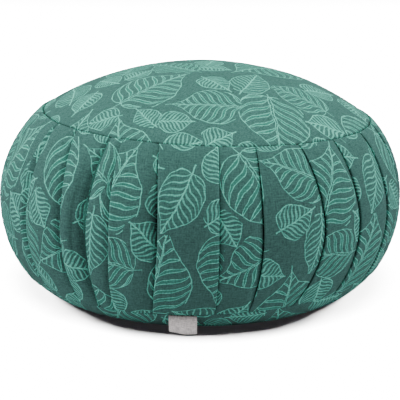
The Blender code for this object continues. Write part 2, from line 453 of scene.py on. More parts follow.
FOLD = tuple(FoldStep(*step) for step in (
    (-1.00, 0.0, 0.20, 0.0, 0.0),
    (-0.60, 0.0, 0.35, 0.0, -0.2),
    (-0.24, 0.0, 0.56, 0.0, -0.5),
    (0.00, 1.2, 0.82, 0.0, -1.0),
    (0.00, 3.8, 0.98, 0.0, -1.0),
    (0.00, 4.6, 0.90, 0.0, -1.0),
    (0.00, 3.9, 0.78, 0.0, -1.0),
    (0.00, 1.4, 0.54, 0.0, -1.0),
    (0.00, 0.0, 0.22, 0.0, -0.3),
    (0.00, -0.35, 0.0, 0.30, 0.6),
    (0.00, 0.15, 0.0, 0.80, 1.0),
    (0.00, 1.30, 0.0, 1.00, 0.3),
))
UNDER_STEPS = 5             # how many of them are on the cloth that goes under

# Where down the band a gaping pleat opens, and what that adds to the depths and the painted shade
# of the steps that go under
GAPE_MIDDLE, GAPE_HALF = 0.44, 0.13
GAPE_DEPTHS_MM = (0.0, 0.4, 1.6, 1.2, 0.6)
GAPE_CREASES = (0.0, 0.15, 0.7, 0.4, 0.0)

# How steep the two sides of a slack pleat's valley are, and how much painted shade darkens it
VALLEY_SIDES, VALLEY_CREASE = (0.85, 1.25), 0.35

# Places on the body's bake map: strips of the wall, and a disc for each end
BAKE_EDGE, STRIP_PITCH, STRIP_HEIGHT = 0.004, 0.31, 0.302
END_DISCS = (((0.04, 0.965), 0.03), ((0.12, 0.965), 0.03))

# Rings that close the body off under a round panel: share of the way out, depth, cloth turned in
CLOSING = ((1.002, 0.0018, 0.002), (1.001, 0.0032, 0.004), (0.995, 0.0045, 0.006),
           (0.94, 0.0045, 0.014), (0.70, 0.0045, 0.048), (0.35, 0.0045, 0.097))


@dataclass
class SideBand:
    """Filled body in its pleated side band, closed off under the two round panels."""

    form: Form = Form()
    seam: Seam = Seam(pucker_mm=0.45)
    rear_pleats: int = 12
    rear_stray: float = 1.3
    lap_lift_mm: float = 1.3
    seam_share: float = 0.16        # share of a pleat's relief left at a seam
    edge_ease: float = 0.22         # share of a panel over which its edge rises
    hidden: float = 0.024           # cloth folded away in one pleat
    panel_steps: int = 20
    rows: int = 84
    row_crowding: float = 0.86      # of the rows towards the seams
    swell_mm: float = 0.8
    swell_size: float = 0.055
    strip_pleats: int = 8           # pleats in one strip of the bake map

    def __post_init__(self) -> None:
        """Lay out the ring of pleats and the rows."""
        first, last = FRONT_PLEATS[0], FRONT_PLEATS[-1]
        pitch = (first.upper + 360.0 - last.upper) / (self.rear_pleats + 1)
        self.pleats = list(FRONT_PLEATS)
        for index in range(self.rear_pleats):
            middle = last.upper + pitch * (index + 1)
            stray = self.rear_stray * sin(2.4 * index)
            self.pleats.append(Pleat(middle + stray, middle - stray, middle + 0.5 * stray,
                                     1.8 + 0.5 * sin(1.7 * index), 5.0))
        turn = 2.0 * pi * np.linspace(0.0, 1.0, self.rows + 1)
        self.downs = ((turn - self.row_crowding * np.sin(turn)) / (2.0 * pi)).tolist()
        self.table = SideTable(self.form, np.array(self.downs))
        lines = np.array([pleat.bulge for pleat in self.pleats])
        middles = 0.5 * (lines + np.append(lines[1:], lines[0] + 360.0))
        steps = np.radians(np.diff(middles)) * self.form.bulge_radius + self.hidden
        self.starts = np.concatenate(([0.0], np.cumsum(steps)))     # cloth at each panel's middle

    def fold_shape(self, pleat: Pleat, down: float) -> tuple[Array, Array, Array, int]:
        """A pleat's steps from left to right.

        Args:
            pleat: the pleat.
            down: share of the way down the band.

        Returns:
            Shifts in mm, heights in mm, crease values, and how many steps lie on the left cloth.
        """
        gape = pleat.gape * exp(-((down - GAPE_MIDDLE) / GAPE_HALF) ** 2)
        wide = pleat.open_mm * (1.0 + gape)
        shift = np.array([step.opening * wide + step.across_mm for step in FOLD])
        height = np.array([step.lift * self.lap_lift_mm - step.depth * pleat.deep_mm
                           for step in FOLD])
        crease = np.array([step.crease for step in FOLD])
        height[:UNDER_STEPS] -= gape * np.array(GAPE_DEPTHS_MM)
        # Painted shade in the gaping opening
        crease[:UNDER_STEPS] -= gape * np.array(GAPE_CREASES)
        place = np.linspace(-1.0, 1.0, len(FOLD))
        near, far = VALLEY_SIDES
        valley = smooth((1.0 - place) / near) * smooth((1.0 + place) / far)
        shift += pleat.slack * (place * wide - shift)
        height -= pleat.slack * (valley * pleat.deep_mm + height)
        # Painted shade in the slack valley
        crease -= pleat.slack * (valley * VALLEY_CREASE + crease)
        if pleat.lap is Lap.RIGHT_OVER:
            return shift, height, crease, UNDER_STEPS
        return -shift[::-1], height[::-1], crease[::-1], len(FOLD) - UNDER_STEPS

    def row_layout(self, row: int) -> tuple[Array, ...]:
        """One row of the band, column by column.

        Args:
            row: number of the row.

        Returns:
            Azimuths in degrees, heights over the smooth wall in mm, places on the cloth along
            the band, and crease values. The first column comes again at the end.
        """
        down = self.downs[row]
        relief = self.seam_share + (1.0 - self.seam_share) * sin(pi * min(down, 1.0)) ** 0.6
        lines = np.array([pleat.azimuth(down) for pleat in self.pleats])
        lines = np.append(lines, lines[0] + 360.0)
        radii = self.table.look_up(lines, row)[0]
        middles, wides = 0.5 * (lines[:-1] + lines[1:]), 0.5 * (radii[:-1] + radii[1:])

        def along(panel: int, azimuth: Array) -> Array:
            """Place of azimuths on the cloth of one panel."""
            return self.starts[panel] + np.radians(azimuth - middles[panel]) * wides[panel]

        folds = []
        for line, radius, pleat in zip(lines, radii, [*self.pleats, self.pleats[0]]):
            shift, height, crease, split = self.fold_shape(pleat, down)
            folds.append((line + np.degrees(0.001 * relief * shift / radius), relief * height,
                          relief * crease, 0.001 * relief * runs(shift, height), split))
        shares = np.arange(1, self.panel_steps + 1) / (self.panel_steps + 1)
        parts = []
        for panel, (fold, goal) in enumerate(zip(folds, folds[1:])):
            turns, height, crease, paths, split = fold
            right = along(panel, turns[-1]) - paths[-1] + paths
            left = along(panel - 1, turns[0]) + paths if panel else right
            parts.append((turns, height, np.append(left[:split], right[split:]), crease))
            inner = turns[-1] + (goal[0][0] - turns[-1]) * shares
            rise = (4000.0 * self.form.puff * relief * shares * (1.0 - shares)
                    + (1.0 - smooth(shares / self.edge_ease)) * height[-1]
                    + (1.0 - smooth((1.0 - shares) / self.edge_ease)) * goal[1][0])
            parts.append((inner, rise, along(panel, inner), 0.0 * shares))
        turns, height, crease, *_ = folds[-1]
        parts.append((turns[:1], height[:1], along(-1, turns[:1]), crease[:1]))
        return tuple(np.concatenate(part) for part in zip(*parts))

    def wall_ring(self, row: int) -> Ring:
        """One row of the band, with its rolled edges, puckers and swells.

        Args:
            row: number of the row.

        Returns:
            The row as a ring.
        """
        azimuth, rise, along, crease = self.row_layout(row)
        radius, z, out_r, out_z = self.table.look_up(azimuth, row)
        down, length = self.downs[row], self.table.length
        arc = np.radians(azimuth) * self.form.panel_radius
        for gone, start in zip((down * length, (1.0 - down) * length), self.seam.starts):
            rise = rise + self.seam.pucker(gone) * self.seam.ripple(arc, start)
            rise = rise - self.seam.roll_mm * self.seam.rolled(gone)
        fade = sin(pi * down) ** 0.5
        soft = swells(around(azimuth, radius, z), self.swell_size, 3.0)
        high = 0.001 * (rise + self.swell_mm * fade * soft)
        # Painted shade along the two seam grooves, through the crease value
        seam_groove_shade = self.seam.rolled(min(down, 1.0 - down) * length)
        return (around(azimuth, radius + high * out_r, z + high * out_z), along, crease - seam_groove_shade,
                down * length)

    def closing(self, upper: bool) -> list[Ring]:
        """Close the body off under one round panel.

        Args:
            upper: whether that is the top panel.

        Returns:
            Rings, from the outside in.
        """
        azimuth, _, along, _ = self.row_layout(0 if upper else self.rows)
        place = self.form.upper_point if upper else self.form.lower_point
        # The closing rings carry crease -1: painted shade under the panels
        return [(around(azimuth, *place(azimuth, share, inset)), along, -1.0,
                 -gone if upper else self.table.length + gone) for share, inset, gone in CLOSING]

    def build(self, material: Material) -> Object:
        """Join all rings into one closed mesh with its two flat maps.

        Args:
            material: the body's cloth.

        Returns:
            The finished object.
        """
        wall_rings = [self.wall_ring(row) for row in range(self.rows + 1)]
        rings = [*reversed(self.closing(True)), *wall_rings, *self.closing(False)]
        skin = Skin("pleated_cover")
        grid = np.stack([skin.add_ring(points, crease) for points, _, crease, _ in rings])
        cloth = np.stack([np.stack((along, np.full_like(along, gone)), axis=-1)
                          for _, along, _, gone in rings])
        caps = len(CLOSING)
        wall = slice(caps, -caps)
        span = self.strip_pleats * (len(FOLD) + self.panel_steps)
        cuts = [0, span + UNDER_STEPS, 2 * span + UNDER_STEPS, grid.shape[1] - 1]
        up = BAKE_EDGE + STRIP_HEIGHT * np.linspace(1.0, 0.0, len(wall_rings))
        for strip, (start, end) in enumerate(zip(cuts, cuts[1:])):
            columns = slice(start, end + 1)
            way = runs(*rings[len(rings) // 2][0][columns].T)
            across = BAKE_EDGE + (1.0 - 2.0 * BAKE_EDGE) * way / way[-1]
            flat = flat_grid(across, up + STRIP_PITCH * strip)
            skin.add_grid(grid[wall, columns], cloth[wall, columns], flat)
        turn = np.linspace(0.0, 360.0, grid.shape[1])
        shares = np.linspace(0.1, 1.0, caps + 1)
        for upper, disc in zip((True, False), END_DISCS):
            part, row = (slice(caps + 1), 0) if upper else (slice(-caps - 1, None), -1)
            flat = disc_map(turn, shares if upper else shares[::-1], *disc)
            skin.add_grid(grid[part], cloth[part], flat)
            z = rings[row][0][:, 2].mean() + (0.001 if upper else 0.0)
            # Its pole also carries crease -1: painted shade
            skin.add_pole(z, grid[row], (cloth[row], flat[row]),
                          (cloth[row].mean(axis=0), disc[0]), upper, -1.0)
        return skin.finish(material)


# --- Round panels ---


class Side(Enum):
    """Which round panel of the cushion."""

    TOP = "top"
    BOTTOM = "bottom"


OUTER_DISC = ((0.43, 0.57), 0.42)       # middle and radius on the bake map
INNER_DISC = ((0.86, 0.14), 0.13)


@dataclass
class RoundPanel:
    """Round cloth panel with its edge turned into the seam groove."""

    side: Side
    form: Form = Form()
    seam: Seam = Seam(pucker_mm=0.40)
    columns: int = 600
    outer_rings: int = 40
    ring_crowding: float = 1.8      # of the rings towards the seam
    inner_shares: tuple[float, ...] = (0.988, 0.95, 0.85, 0.7, 0.5, 0.3, 0.1)
    edge: tuple[float, float] = (0.9986, 0.0017)    # place and depth of its turned edge
    puckered_from: float = 0.93     # share of the way out, on the bottom panel
    swell_mm: float = 0.9
    swell_size: float = 0.06
    cut_radius: float = 0.1535      # flat radius of the cloth to its seam
    turn_cloth: float = 24.0        # how the print lies on it, in degrees
    shift_cloth: tuple[float, float] = (0.330, 0.120)

    def __post_init__(self) -> None:
        """Measure the bottom panel's cloth."""
        if self.side is Side.BOTTOM:
            self.cut_radius = self.form.foot_radius + self.form.rim_cloth()

    def cloth_out(self, share: float) -> float:
        """How far out on the flat cloth a ring lies.

        Args:
            share: share of the way from the middle to the seam.

        Returns:
            The distance from the cloth's middle.
        """
        flat, foot = self.form.flat_share, self.form.foot_radius
        if self.side is Side.TOP:
            return self.cut_radius * share
        if share < flat:
            return foot * share / flat
        return foot + (self.cut_radius - foot) * (share - flat) / (1.0 - flat)

    def ring(self, azimuth: Array, share: float, inset: float = 0.0) -> tuple[Array, Array]:
        """Radii and heights of one ring, with its swells and puckers.

        Args:
            azimuth: azimuths of its points.
            share: share of the way from the middle to the seam.
            inset: how far the ring lies inside the outer surface.

        Returns:
            Radii and heights.
        """
        form = self.form
        gone = self.cut_radius - self.cloth_out(share)
        arc = np.radians(azimuth) * form.panel_radius
        pucker, rolled = self.seam.pucker(gone), self.seam.roll_mm * self.seam.rolled(gone)
        upper, lower = self.seam.starts
        if self.side is Side.TOP:
            radius, z = form.upper_point(azimuth, share)
            soft = self.swell_mm * swells(around(azimuth, radius, z), self.swell_size, 8.0)
            high = soft * (1.0 - share ** 6) + pucker * self.seam.ripple(arc, upper)
            return radius, z + 0.001 * (high - rolled) - inset
        lifted = pucker * (1.0 + self.seam.ripple(arc, lower)) * (share > self.puckered_from)
        return form.lower_point(azimuth, share, inset + 0.001 * (rolled - lifted))

    def build(self, material: Material) -> Object:
        """Make the panel.

        Args:
            material: its cloth.

        Returns:
            The finished object.
        """
        top = self.side is Side.TOP
        azimuth = np.linspace(0.0, 360.0, self.columns + 1)
        place = self.form.upper_point if top else self.form.lower_point
        even = np.linspace(0.0, 1.0, self.outer_rings + 1)[1:]
        shares = [*(1.0 - (1.0 - even) ** self.ring_crowding), 1.01]
        count = len(shares)
        rings = [self.ring(azimuth, share) for share in shares[:-1]]
        rings.append(place(azimuth, *self.edge))
        rings += [self.ring(azimuth, share, self.form.cloth) for share in self.inner_shares]
        outs = [self.cloth_out(share) for share in (*shares, *self.inner_shares)]
        skin = Skin(f"{self.side.value}_panel_cloth")
        # Rings near the seam get a crease value below 0: painted shade along the seam groove
        grid = np.stack([skin.add_ring(around(azimuth, *ring),
                                       -self.seam.rolled(max(self.cut_radius - out, 0.0)))
                         for ring, out in zip(rings, outs)])
        cloth = disc_map(azimuth + self.turn_cloth, outs, self.shift_cloth, 1.0)
        faces = ((slice(count), shares, 0, OUTER_DISC),
                 (slice(count - 1, None), (1.03, *self.inner_shares), -1, INNER_DISC))
        for part, spread, row, disc in faces:
            flat = disc_map(azimuth, spread, *disc)
            skin.add_grid(grid[part], cloth[part], flat, flipped=not top)
            z = rings[row][1].mean() + (0.0001 if top else 0.0)
            skin.add_pole(z, grid[row], (cloth[row], flat[row]), (self.shift_cloth, disc[0]),
                          (row == 0) is top)
        return skin.finish(material)


# --- Tab ---


@dataclass
class SeamTab:
    """Bare folded tape whose ends are sewn into the lower seam."""

    form: Form = Form()
    azimuth: float = -4.85
    width: float = 0.0225
    flat_length: float = 0.033      # of the tape before it is folded
    tape: float = 0.0005            # thickness of the tape
    apart: float = 0.0007           # between the middles of its two layers
    drop: float = 0.0003
    flare: float = -0.0010
    clear: float = 0.0014           # under its lower edge
    twist: float = 0.0016
    wave: float = 0.0005
    corner: float = 0.0003          # how far its lower corners draw in
    across_steps: int = 28
    down_steps: int = 18
    turn_steps: int = 8

    def section(self, half: float) -> list[tuple[float, float, float]]:
        """One side of the folded tape, down the front and up the back.

        Args:
            half: its distance from the middle of the fold.

        Returns:
            For each row the distance in front of that middle, the share of the way down, and the
            depth under the last point of the layers.
        """
        front = [(half, step / self.down_steps, 0.0) for step in range(self.down_steps + 1)]
        bends = [pi * step / self.turn_steps for step in range(1, self.turn_steps)]
        turn = [(half * cos(bend), 1.0, half * sin(bend)) for bend in bends]
        back = [(-half, down, 0.0) for _, down, _ in reversed(front)]
        return front + turn + back

    def place(self, across: float, thick: float, down: float,
              below: float) -> tuple[float, float, float]:
        """Point of the tape.

        Args:
            across: share of the width, from -0.5 to 0.5.
            thick: distance in front of the tab's middle.
            down: share of the way down.
            below: distance under the last point of the layers.

        Returns:
            The point.
        """
        seam = float(self.form.lower_seam(self.azimuth))
        inner = float(self.form.under_radius(seam)) + self.form.seam_land
        inner += 0.5 * (self.apart + self.tape)
        seam -= self.drop
        bottom = self.clear + 0.5 * (self.apart + self.tape) - self.twist * min(across, 0.0) * 2.0
        wave = self.wave * sin(2.6 * across * pi + 0.6) * down
        corner = self.corner * max(0.0, abs(across) - 0.42) / 0.08 * down ** 3
        radius = inner + self.flare * down ** 1.3 + thick * 0.85 + wave - corner
        z = seam + (bottom + corner - seam) * down + thick * 0.5 * down - below * 0.85
        turn = radians(self.azimuth) + across * self.width / inner
        return radius * sin(turn), -radius * cos(turn), z

    def build(self, material: Material) -> Object:
        """Make the tab as one folded sheet with a real thickness.

        Args:
            material: its tape.

        Returns:
            The finished object.
        """
        skin = Skin("seam_tab_tape")
        across = np.linspace(-0.5, 0.5, self.across_steps + 1)
        wide = self.width * (across + 0.5)
        spread = 0.01 + 0.90 * (across + 0.5)
        layers, ways = [], []
        for number, gap in enumerate((self.apart + self.tape, self.apart - self.tape)):
            points = np.array([[self.place(share, *spot) for share in across]
                               for spot in self.section(0.5 * gap)])
            layers.append(skin.add_points(points).reshape(points.shape[:2]))
            ways.append(runs(*points[:, 0].T))
            tall = 0.01 + 0.5 * number + 0.45 * ways[-1] / ways[-1][-1]
            flat = flat_grid(spread, tall)
            skin.add_grid(layers[-1], flat_grid(wide, ways[-1]), flat, flipped=number == 1)
        outside, inside = layers
        thin, tall = (0.0, self.tape), 0.01 + 0.95 * ways[0] / ways[0][-1]
        for column, start in ((0, 0.93), (-1, 0.96)):       # the two edges, on the bake map
            pair = np.stack((inside[:, column], outside[:, column]), axis=1)
            skin.add_grid(pair, flat_grid(thin, ways[0]), flat_grid((start, start + 0.02), tall),
                          column == -1)
        for row, start in ((0, 0.965), (-1, 0.983)):        # and the two ends
            pair = np.stack((inside[row], outside[row]))
            skin.add_grid(pair, flat_grid(wide, thin), flat_grid(spread, (start, start + 0.012)),
                          row == -1)
        return skin.finish(material)


# --- Shader helpers ---


def adder(operation: str, flipped: bool = False) -> Callable[..., Wire]:
    """Make a method of a wire that adds one Math node.

    Args:
        operation: the node's operation.
        flipped: whether the wire is the node's last value, as in 1 - wire.

    Returns:
        The method.
    """
    def method(wire: Wire, *others: Any) -> Wire:
        """Add the node."""
        values = (*others, wire) if flipped else (wire, *others)
        return wire.recipe.node("ShaderNodeMath", {"operation": operation}, dict(enumerate(values)))
    return method


class Wire:
    """A shader socket; arithmetic on it adds Math nodes."""

    def __init__(self, recipe: Recipe, socket: NodeSocket) -> None:
        """Wrap an output socket of a recipe's node."""
        self.recipe = recipe
        self.socket = socket

    __add__ = __radd__ = adder("ADD")
    __sub__, __rsub__ = adder("SUBTRACT"), adder("SUBTRACT", True)
    __mul__ = __rmul__ = adder("MULTIPLY")
    __truediv__, __rtruediv__ = adder("DIVIDE"), adder("DIVIDE", True)
    __pow__, __rpow__ = adder("POWER"), adder("POWER", True)
    __gt__, __lt__ = adder("GREATER_THAN"), adder("LESS_THAN")
    __abs__ = adder("ABSOLUTE")
    most, least = adder("MAXIMUM"), adder("MINIMUM")
    floor, fract = adder("FLOOR"), adder("FRACT")
    sine, angle = adder("SINE"), adder("ARCTAN2")

    def clip(self) -> Wire:
        """Held between 0 and 1."""
        return self.recipe.node("ShaderNodeClamp", {}, {0: self, 1: 0.0, 2: 1.0})

    def output(self, key: int | str) -> Wire:
        """Another output of the same node."""
        return Wire(self.recipe, self.socket.node.outputs[key])

    def parts(self) -> tuple[Wire, Wire, Wire]:
        """The three parts of a vector."""
        split = self.recipe.node("ShaderNodeSeparateXYZ", {}, {0: self})
        return split, split.output(1), split.output(2)


class Recipe:
    """The nodes of one material or world."""

    def __init__(self, holder: ID, shader: str = "Principled BSDF") -> None:
        """Start from the one shader of a new material or world.

        Args:
            holder: the material or world.
            shader: name of its shader node.
        """
        self.holder = holder
        holder.use_nodes = True
        self.tree = holder.node_tree
        self.shader = self.tree.nodes[shader]

    def node(self, kind: str, settings: dict[str, Any], inputs: dict[Any, Any],
             output: int | str = 0) -> Wire:
        """Add a node.

        Args:
            kind: its type.
            settings: its settings, set first; "stops" fills a ramp with (place, colour) pairs.
            inputs: values or wires for its sockets, by number or name.
            output: which of its sockets to return.

        Returns:
            That output.
        """
        made = self.tree.nodes.new(kind)
        for key, value in settings.items():
            if key == "stops":
                ramp = made.color_ramp.elements
                while len(ramp) < len(value):
                    ramp.new(1.0)
                for stop, (place, colour) in zip(ramp, value):
                    stop.position = place
                    stop.color = colour if isinstance(colour, tuple) else (colour,) * 3 + (1.0,)
            elif key == "ramp":
                made.color_ramp.interpolation = value
            else:
                setattr(made, key, value)
        for key, value in inputs.items():
            self.feed(made.inputs[key], value)
        return Wire(self, made.outputs[output])

    def feed(self, socket: NodeSocket, value: Any) -> None:
        """Link a wire to a socket, or set its value.

        Args:
            socket: the socket.
            value: a wire or a plain value.
        """
        if isinstance(value, Wire):
            self.tree.links.new(value.socket, socket)
        else:
            socket.default_value = value

    def vector(self, operation: str, *inputs: Any, output: int | str = 0) -> Wire:
        """One Vector Math node."""
        return self.node("ShaderNodeVectorMath", {"operation": operation},
                         dict(enumerate(inputs)), output)

    def mix_vector(self, factor: Any, low: Any, high: Any) -> Wire:
        """Vector between two."""
        return self.node("ShaderNodeMix", {"data_type": "VECTOR"}, {0: factor, 4: low, 5: high}, 1)

    def mix_colour(self, factor: Any, low: Any, high: Any, blend: str = "MIX") -> Wire:
        """Colour between two."""
        return self.node("ShaderNodeMix", {"data_type": "RGBA", "blend_type": blend},
                         {0: factor, 6: low, 7: high}, 2)

    def shaded(self, colour: Any, level: Wire) -> Wire:
        """A colour times a level."""
        grey = self.node("ShaderNodeCombineXYZ", {}, {0: level, 1: level, 2: level})
        return self.mix_colour(1.0, colour, grey, "MULTIPLY")

    def noise(self, place: Wire, scale: float, detail: float = 2.0, output: int | str = 0) -> Wire:
        """Soft noise at a place."""
        return self.node("ShaderNodeTexNoise", {},
                         {"Vector": place, "Scale": scale, "Detail": detail}, output)

    def streaks(self, place: Wire, across: float, along: float) -> Wire:
        """Noise drawn out one way, as in uneven threads, from -0.5 to 0.5."""
        return self.noise(self.vector("MULTIPLY", place, (across, along, 0.0)), 1.0) - 0.5

    def ramp(self, place: Wire, stops: Sequence[tuple[float, Any]], kind: str = "LINEAR") -> Wire:
        """Ramp of colours or greys."""
        return self.node("ShaderNodeValToRGB", {"stops": stops, "ramp": kind}, {0: place})

    def cloth_mm(self) -> Wire:
        """Place on the flat cloth, in mm."""
        cloth = self.node("ShaderNodeUVMap", {"uv_map": CLOTH_MAP}, {})
        return self.vector("MULTIPLY", cloth, (1000.0, 1000.0, 1000.0))

    def bump(self, height: Wire, strength: float, distance: float) -> Wire:
        """Normals bent by a height."""
        return self.node("ShaderNodeBump", {},
                         {"Strength": strength, "Distance": distance, "Height": height})

    def dress(self, inputs: dict[str, Any]) -> ID:
        """Feed the shader.

        Args:
            inputs: values or wires for its sockets, by name.

        Returns:
            The material or world.
        """
        for key, value in inputs.items():
            self.feed(self.shader.inputs[key], value)
        return self.holder


# --- Finishes ---


class LeafKind(Enum):
    """Kinds of leaf in the print, each with its shape and its veins."""

    BROAD = 0
    LONG = 1
    ROUND = 2


@dataclass(frozen=True)
class LeafShape:
    """Shape of one kind of leaf, as the print draws it."""

    narrow: float           # how much narrower than a disc
    tip: float              # length of the drawn-out tip, as a share of the leaf
    veins: float            # veins along one side
    length_mm: float


LEAF_SHAPES = {
    LeafKind.BROAD: LeafShape(0.94, 0.14, 8.0, 74.0),
    LeafKind.LONG: LeafShape(1.22, 0.13, 10.0, 54.0),
    LeafKind.ROUND: LeafShape(0.92, 0.08, 9.0, 34.0),
}

# The repeat, listed: middle x and y in mm, turn in degrees, length in mm, kind, bend
REPEAT_MM = (260.0, 210.0)
KIND_STEP, BEND_STEP, BEND_REACH = 0.02, 3.0, 0.15      # how one number holds kind and bend
B, L, R = LeafKind
LEAVES = (
    (30, 36, 62, 66, B, 0.10), (84, 24, 205, 51, B, -0.10), (134, 36, 300, 64, B, -0.08),
    (181, 16, 15, 30, R, 0.00), (206, 44, 118, 48, L, 0.12), (236, 14, 262, 30, R, 0.00),
    (240, 51, 330, 28, R, 0.05), (77, 58, 335, 30, R, 0.00), (96, 80, 98, 46, L, 0.10),
    (163, 70, 222, 32, R, 0.00), (24, 90, 158, 52, B, -0.12), (58, 98, 10, 28, R, 0.00),
    (132, 88, 190, 46, B, 0.10), (194, 98, 280, 64, B, 0.08), (241, 92, 100, 51, B, 0.04),
    (88, 130, 250, 64, B, 0.10), (16, 136, 300, 30, R, 0.00), (137, 126, 70, 30, R, 0.05),
    (163, 140, 330, 28, R, 0.00), (228, 140, 208, 48, L, -0.10), (42, 168, 122, 64, B, -0.10),
    (122, 168, 348, 50, L, 0.10), (174, 180, 58, 62, B, 0.06), (218, 172, 170, 28, R, 0.00),
    (86, 186, 40, 30, R, 0.00), (247, 182, 82, 46, L, 0.08), (213, 201, 330, 28, R, 0.00),
    (8, 197, 200, 28, R, 0.00), (130, 202, 215, 28, R, 0.00), (3, 63, 60, 28, R, 0.00),
    (175, 46, 70, 30, R, 0.00), (44, 120, 100, 28, R, 0.05), (251, 114, 250, 26, R, 0.00),
    (107, 203, 60, 28, R, -0.05), (45, 203, 150, 27, R, 0.00), (71, 206, 20, 27, R, 0.05),
    (196, 147, 200, 27, R, 0.00),
)


@dataclass(frozen=True)
class PrintedCotton:
    """Plain-woven cotton with a one-colour print of ordinary leaves."""

    ground: tuple[float, float, float] = (0.060, 0.152, 0.137)
    ink: tuple[float, float, float] = (0.170, 0.720, 0.575)
    tint: tuple[float, float, float] = (0.055, 0.225, 0.182)
    scale: float = 1.10             # of the whole repeat
    grow: float = 1.05              # of each leaf in its place
    thread_mm: float = 0.55
    widen: float = 1.25             # how much narrower a leaf's reach is than its length
    soft_mm: float = 0.20           # how soft the edge of a printed line is
    outline_mm: float = 0.33        # half widths of the printed lines
    twin_mm: float = 0.28           # broad leaves have paired veins
    vein_mm: float = 0.66
    rib_mm: float = 0.55
    twin_apart_mm: float = 1.45     # half the gaps between paired lines
    rib_apart_mm: float = 1.5
    wobble_mm: float = 2.4
    roughness: float = 0.88
    sheen: float = 0.01

    def pick_leaf(self, recipe: Recipe, place: Wire) -> Wire:
        """The nearest leaf's own coordinates.

        Args:
            recipe: the material.
            place: place on the cloth, in mm.

        Returns:
            Way along and across the leaf as shares of its length, the second one widened, and
            a small number that holds its kind and its bend.
        """
        best = chosen = None
        half_x, half_y = (0.5 * self.scale * size for size in REPEAT_MM)
        for x, y, turn, length, kind, bend in LEAVES:
            code = KIND_STEP * (kind.value + BEND_STEP * (bend + BEND_REACH))
            x, y, length = self.scale * x, self.scale * y, self.scale * self.grow * length
            wrapped = recipe.vector("WRAP", place, (x + half_x, y + half_y, code),
                                    (x - half_x, y - half_y, code))
            own = recipe.node("ShaderNodeMapping", {"vector_type": "TEXTURE"},
                              {0: wrapped, 1: (x, y, 0.0), 2: (0.0, 0.0, radians(turn)),
                               3: (length, length / self.widen, 1.0)})
            reach = recipe.vector("LENGTH", own, output="Value")
            chosen = recipe.mix_vector(reach < best, chosen, own) if best else own
            best = best.least(reach) if best else reach
        return chosen

    def line(self, distance: Wire, half_width: Any) -> Wire:
        """1 on a line of that half width in mm, soft at its edges."""
        return ((half_width - abs(distance)) / self.soft_mm + 0.5).clip()

    def draw_leaf(self, recipe: Recipe, own: Wire, press: Wire) -> tuple[Wire, Wire]:
        """Outline, midrib and veins of a leaf.

        Args:
            recipe: the material.
            own: the leaf's coordinates, from pick_leaf.
            press: how heavy the drawn line is there, about 1.

        Returns:
            Where the ink is, and how much of the tint lies inside the leaf.
        """
        x, wide, code = own.parts()
        code = code / KIND_STEP
        kind = (code + 0.001).floor()
        bend = (code - kind) / BEND_STEP - BEND_REACH
        y = wide / self.widen - bend * (x * x - 0.25)
        broad = kind < 0.5
        table = recipe.ramp(kind * 0.5, [
            (start, (shape.narrow / 2.0, shape.tip, shape.veins / 10.0, shape.length_mm / 100.0))
            for start, shape in zip((0.0, 0.25, 0.75), LEAF_SHAPES.values())], "CONSTANT")
        narrow, tip, veins = table.parts()
        narrow, veins, length = narrow * 2.0, veins * 10.0, table.output("Alpha") * 100.0
        across = abs(y) * narrow
        behind = x + 0.12
        out = (behind * behind + across * across) ** 0.5
        turn = across.angle(behind)
        body = recipe.ramp(turn / pi, [(0.0, 0.50), (0.06, 0.47), (0.15, 0.425), (0.3, 0.385),
                                       (0.5, 0.372), (0.7, 0.385), (0.85, 0.395), (0.95, 0.375),
                                       (1.0, 0.355)])
        rim = body + tip * (1.0 - turn / 0.4).clip() ** 3.0
        inside = out < rim
        outline = self.line((out - rim) * length, press * self.outline_mm)
        share = (out / rim).least(1.0)
        rise = across - 0.17
        lean = across * 0.35 + (rise * rise * rise + 0.0049) * 15.0
        beat = (x - lean) * veins + (y > 0.0) * 0.5
        gap = abs(beat.fract() - 0.5) / veins * length / 1.2
        twin = gap - ((1.0 - share ** 4.0) * (across * 14.0).clip()) ** 0.6 * self.twin_apart_mm
        single = self.line(gap, (1.25 - share * 0.6) * press * self.vein_mm)
        vein = self.line(twin, press * self.twin_mm) * broad + single * (0.72 - broad * 0.72)
        along = (x + 0.45).clip()
        apart = (1.0 - along) * ((x + 0.5) * 12.0).clip() * self.rib_apart_mm * broad
        rib = self.line(abs(abs(y) * length - apart), self.rib_mm - broad * 0.24)
        rib = rib * (x < tip + 0.5) * (x > -0.62)
        pale = (twin < 0.0) * broad * 0.92 + (1.0 - broad) * 0.12 + 0.08
        return outline.most(vein * inside).most(rib), inside * pale

    def weave(self, place: Wire) -> Wire:
        """Height of the plain weave.

        Args:
            place: place on the cloth, in mm.

        Returns:
            Heights from 0 to 1.
        """
        x, y, _ = place.parts()
        warp, weft = x / self.thread_mm, y / self.thread_mm
        over = ((warp.floor() + weft.floor()) * 0.5).fract() > 0.25
        return abs((warp * pi).sine()) * over + abs((weft * pi).sine()) * (1.0 - over)

